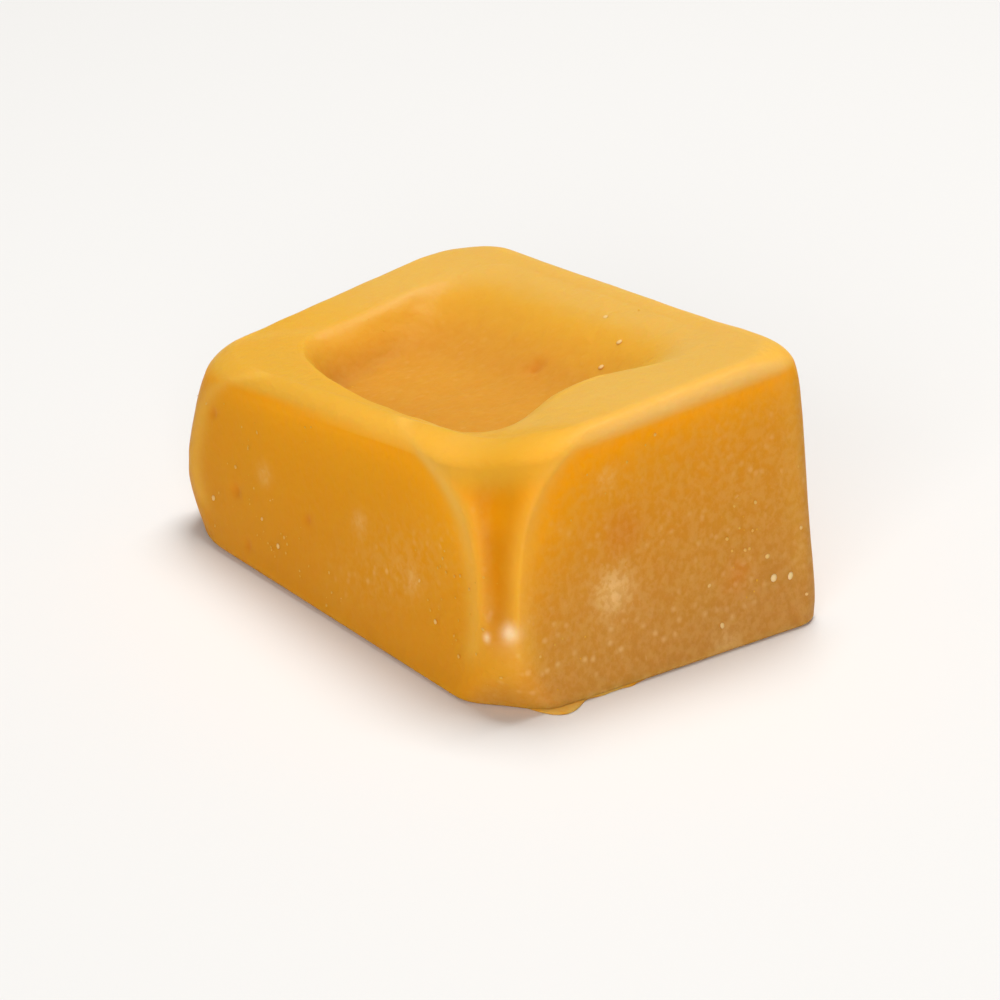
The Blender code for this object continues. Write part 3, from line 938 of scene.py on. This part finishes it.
def caramel_shader(name, clouds, freckles, pebbles_count, roughness, grain):
    """A material with the mottle group and a waxy, translucent Principled BSDF."""
    material = bpy.data.materials.new(name)
    material.use_nodes = True
    tree = material.node_tree
    shader = tree.nodes["Principled BSDF"]
    shader.location = (900, 0)
    tree.nodes["Material Output"].location = (1200, 0)
    mottle = add_node(tree, "ShaderNodeGroup", (-1200, -200), node_tree=mottle_group())
    for key, value in (("Clouds", clouds), ("Freckles", freckles), ("Pebbles", pebbles_count)):
        mottle.inputs[key].default_value = value
    for key, value in CARAMEL_OPTICS.items():
        shader.inputs[key].default_value = value
    smoother, rougher = roughness - 0.05, roughness + 0.07
    rough = map_range(tree, (500, -200), mottle.outputs["Cloud"], 0.0, 1.0, smoother, rougher)
    tree.links.new(rough, shader.inputs["Roughness"])
    bump = add_node(tree, "ShaderNodeBump", (600, -400))
    bump.inputs["Distance"].default_value = grain
    tree.links.new(mottle.outputs["Height"], bump.inputs["Height"])
    tree.links.new(bump.outputs["Normal"], shader.inputs["Normal"])
    return material, tree, shader, mottle


def opaque(linear_colour):
    """A colour with full alpha."""
    return (*linear_colour, 1.0)


def block_material(colours):
    """Caramel that is a painted glowing amber under the rim, creamy with painted highlights on the ridges,
    and browner with painted shade near the foot.
    """
    material, tree, shader, mottle = caramel_shader(
        "caramel_skin", clouds=170.0, freckles=1700.0, pebbles_count=2200.0, roughness=0.40, grain=0.00005
    )
    column, row = itertools.count(-1100, 180), itertools.count(900, -180)

    def mask(key):
        """One of the block's masks."""
        return add_node(tree, "ShaderNodeAttribute", (-1500, next(row)), attribute_name=key).outputs["Fac"]

    def times(first, second):
        """Product of two sockets, or of a socket and a number."""
        return do_maths(tree, (next(column), 800), "MULTIPLY", first, second)

    def over(tone, share, key):
        """A tone with one of the colours laid over it by a share."""
        return blend_colour(tree, (next(column), 500), share, tone, opaque(getattr(colours, key)))

    granular = map_range(tree, (-900, 100), mottle.outputs["Grain"], 0.0, 1.0, 0.55, 1.0)
    # dull lays painted shade and a painted hazy reflection.
    tone = over(opaque(colours.body), mask("shade_and_haze"), "shade_and_haze")
    # warmth lays a painted glow of light through the thin caramel.
    tone = over(tone, mask("painted_glow"), "deep")
    # groove lays painted shade in the near groove.
    tone = over(tone, mask("groove"), "groove")
    # cream lays the rim's paler tone and painted highlights.
    pale = over(opaque(colours.cream_and_highlight), mask("gold"), "gold")
    tone = blend_colour(tree, (300, 700), mask("cream_and_highlight"), tone, pale)
    for key, strength, colour_key in LAYERS:
        tone = over(tone, times(mask(key), strength), colour_key)
    tone = over(tone, times(mottle.outputs["Cloud"], CLOUD), "gold")
    tone = over(tone, times(mottle.outputs["Grain"], GRAIN), "gold")
    tone = over(tone, times(mask("bloom"), times(granular, BLOOM)), "speck_and_highlight")
    # glint lays painted glints of light at the near foot.
    tone = over(tone, times(mask("glint"), GLINT), "glint")
    tone = over(tone, times(mottle.outputs["Freckle"], times(mask("speckled"), FRECKLE)), "speck_and_highlight")
    tone = over(tone, times(mottle.outputs["Grain"], times(mask("speckled"), SPECKLE)), "speck_and_highlight")
    tree.links.new(tone, shader.inputs["Base Color"])
    tree.links.new(mask("gloss"), shader.inputs["Coat Weight"])
    return material


def pale_material(name, near, far, roughness, key=None):
    """Caramel of one paler tone, blended from near to far by a named attribute or else by clouds."""
    material, tree, shader, mottle = caramel_shader(
        name, clouds=700.0, freckles=2200.0, pebbles_count=4000.0, roughness=roughness, grain=0.00002
    )
    shader.inputs["Subsurface Weight"].default_value = 0.2
    shader.inputs["Subsurface Scale"].default_value = 0.0003
    share = mottle.outputs["Cloud"]
    if key:
        share = add_node(tree, "ShaderNodeAttribute", (0, 300), attribute_name=key).outputs["Fac"]
    tone = blend_colour(tree, (300, 300), share, opaque(near), opaque(far))
    tree.links.new(tone, shader.inputs["Base Color"])
    return material


def table_material(floor_colour):
    """Plain matt table with a very faint cloud in its tone."""
    material = bpy.data.materials.new("table")
    material.use_nodes = True
    tree = material.node_tree
    shader = tree.nodes["Principled BSDF"]
    shader.inputs["Roughness"].default_value = 0.7
    noise = add_node(tree, "ShaderNodeTexNoise", (-600, 0))
    noise.inputs["Scale"].default_value = 6.0
    place = add_node(tree, "ShaderNodeTexCoord", (-800, 0))
    tree.links.new(place.outputs["Object"], noise.inputs["Vector"])
    darker = tuple(0.985 * channel for channel in floor_colour)
    tone = blend_colour(tree, (-300, 0), noise.outputs["Fac"], opaque(floor_colour), opaque(darker))
    tree.links.new(tone, shader.inputs["Base Color"])
    return material


def make_table(stage):
    """A large flat sheet just under the candy."""
    half, level = 1.5, -0.00002
    corners = ((-half, -half, level), (half, -half, level), (half, half, level), (-half, half, level))
    mesh = bpy.data.meshes.new("table")
    mesh.from_pydata(corners, [], [(0, 1, 2, 3)])
    mesh.materials.append(table_material(tuple(stage.floor_colour)))
    table = bpy.data.objects.new("table", mesh)
    bpy.context.scene.collection.objects.link(table)


def aim(thing, target):
    """Turn an object so that its -Z looks at the target."""
    thing.rotation_euler = (target - thing.location).to_track_quat("-Z", "Y").to_euler()


def make_softbox(name, place, target, size, power, tint):
    """A rectangular area light aimed at the target."""
    light = bpy.data.lights.new(name, "AREA")
    light.shape = "RECTANGLE"
    light.size, light.size_y = size
    light.energy = power
    light.color = tint
    made = bpy.data.objects.new(name, light)
    made.location = place
    bpy.context.scene.collection.objects.link(made)
    aim(made, target)


def make_world(strength):
    """Even pale light from all round."""
    world = bpy.data.worlds.new("studio")
    world.use_nodes = True
    sky = world.node_tree.nodes["Background"]
    sky.inputs["Color"].default_value = (1.0, 0.985, 0.96, 1.0)
    sky.inputs["Strength"].default_value = strength
    bpy.context.scene.world = world
    bpy.context.scene.view_settings.view_transform = "Standard"


def make_camera(stage, target):
    """A long lens at the photograph's angle: azimuth turns it round the candy from -Y,
    elevation lifts it, and roll turns it about its own line of sight."""
    turn, lift = stage.view_azimuth, stage.view_elevation
    back = Vector((math.sin(turn) * math.cos(lift), -math.cos(turn) * math.cos(lift), math.sin(lift)))
    data = bpy.data.cameras.new("camera")
    data.lens = stage.focal_length
    data.clip_start = 0.01
    camera = bpy.data.objects.new("camera", data)
    camera.location = target + back * stage.view_distance
    bpy.context.scene.collection.objects.link(camera)
    aim(camera, target)
    camera.rotation_euler.rotate_axis("Z", stage.view_roll)
    bpy.context.scene.camera = camera


class CARAMEL_OT_block(bpy.types.Operator):
    """Build the block of caramel"""

    bl_idname = "caramel.block"
    bl_label = "Caramel block"

    def execute(self, context):
        scene = context.scene
        block_object(scene.caramel_form, block_material(scene.caramel_colours))
        return {"FINISHED"}


class CARAMEL_OT_crystals(bpy.types.Operator):
    """Set the pale crystals into the block's faces"""

    bl_idname = "caramel.crystals"
    bl_label = "Pale crystals"

    def execute(self, context):
        scene = context.scene
        near, far = tuple(scene.caramel_colours.gold), tuple(scene.caramel_colours.glint)
        material = pale_material("caramel_crystal", near, far, 0.30, "whiteness")
        crystals_object(scene.caramel_form, material)
        return {"FINISHED"}


class CARAMEL_OT_flash(bpy.types.Operator):
    """Lay the mould's thin flash round the foot"""

    bl_idname = "caramel.flash"
    bl_label = "Mould flash"

    def execute(self, context):
        scene = context.scene
        near, far = tuple(scene.caramel_colours.body), tuple(scene.caramel_colours.cream_and_highlight)
        material = pale_material("caramel_flash", near, far, 0.38)
        flash_object(scene.caramel_form, material)
        return {"FINISHED"}


class CARAMEL_OT_stage(bpy.types.Operator):
    """Set up the table, the soft lights and the camera"""

    bl_idname = "caramel.stage"
    bl_label = "Stage"

    def execute(self, context):
        stage = context.scene.caramel_stage
        target = Vector(VIEW_TARGET)
        make_table(stage)
        for name, place, size, power, tint in (
            ("key", (-0.06, 0.10, 0.42), (0.22, 0.22), stage.key_power, (1.0, 0.98, 0.95)),
            ("fill", (0.34, -0.33, 0.20), (0.35, 0.25), stage.fill_power, (1.0, 0.99, 0.97)),
        ):
            make_softbox(name, Vector(place), target, size, power, tint)
        make_world(stage.world_strength)
        make_camera(stage, target)
        return {"FINISHED"}


class CARAMEL_PT_panel(bpy.types.Panel):
    """Lists the builders and the main sizes and colours"""

    bl_label = "Caramel candy"
    bl_idname = "CARAMEL_PT_panel"
    bl_space_type = "VIEW_3D"
    bl_region_type = "UI"
    bl_category = "Caramel"

    def draw(self, context):
        scene = context.scene
        for settings in (scene.caramel_form, scene.caramel_colours, scene.caramel_stage):
            column = self.layout.column(align=True)
            for key in settings.bl_rna.properties.keys():
                if key not in ("rna_type", "name"):
                    column.prop(settings, key)
        for builder in BUILDERS:
            self.layout.operator(builder.bl_idname)


BUILDERS = (CARAMEL_OT_block, CARAMEL_OT_crystals, CARAMEL_OT_flash, CARAMEL_OT_stage)
GROUPS = {
    "caramel_form": CaramelForm,
    "caramel_colours": CaramelColours,
    "caramel_stage": CaramelStage,
}


def register():
    """Add the settings, the builders and the panel."""
    for group in GROUPS.values():
        bpy.utils.register_class(group)
    for key, group in GROUPS.items():
        setattr(bpy.types.Scene, key, PointerProperty(type=group))
    for builder in (*BUILDERS, CARAMEL_PT_panel):
        bpy.utils.register_class(builder)


def unregister():
    """Take them out again."""
    for builder in reversed((*BUILDERS, CARAMEL_PT_panel)):
        bpy.utils.unregister_class(builder)
    for key in GROUPS:
        delattr(bpy.types.Scene, key)
    for group in reversed(list(GROUPS.values())):
        bpy.utils.unregister_class(group)


def main():
    """Build every piece in order."""
    register()
    bpy.ops.caramel.block()
    bpy.ops.caramel.crystals()
    bpy.ops.caramel.flash()
    bpy.ops.caramel.stage()


if __name__ == "__main__":
    main()
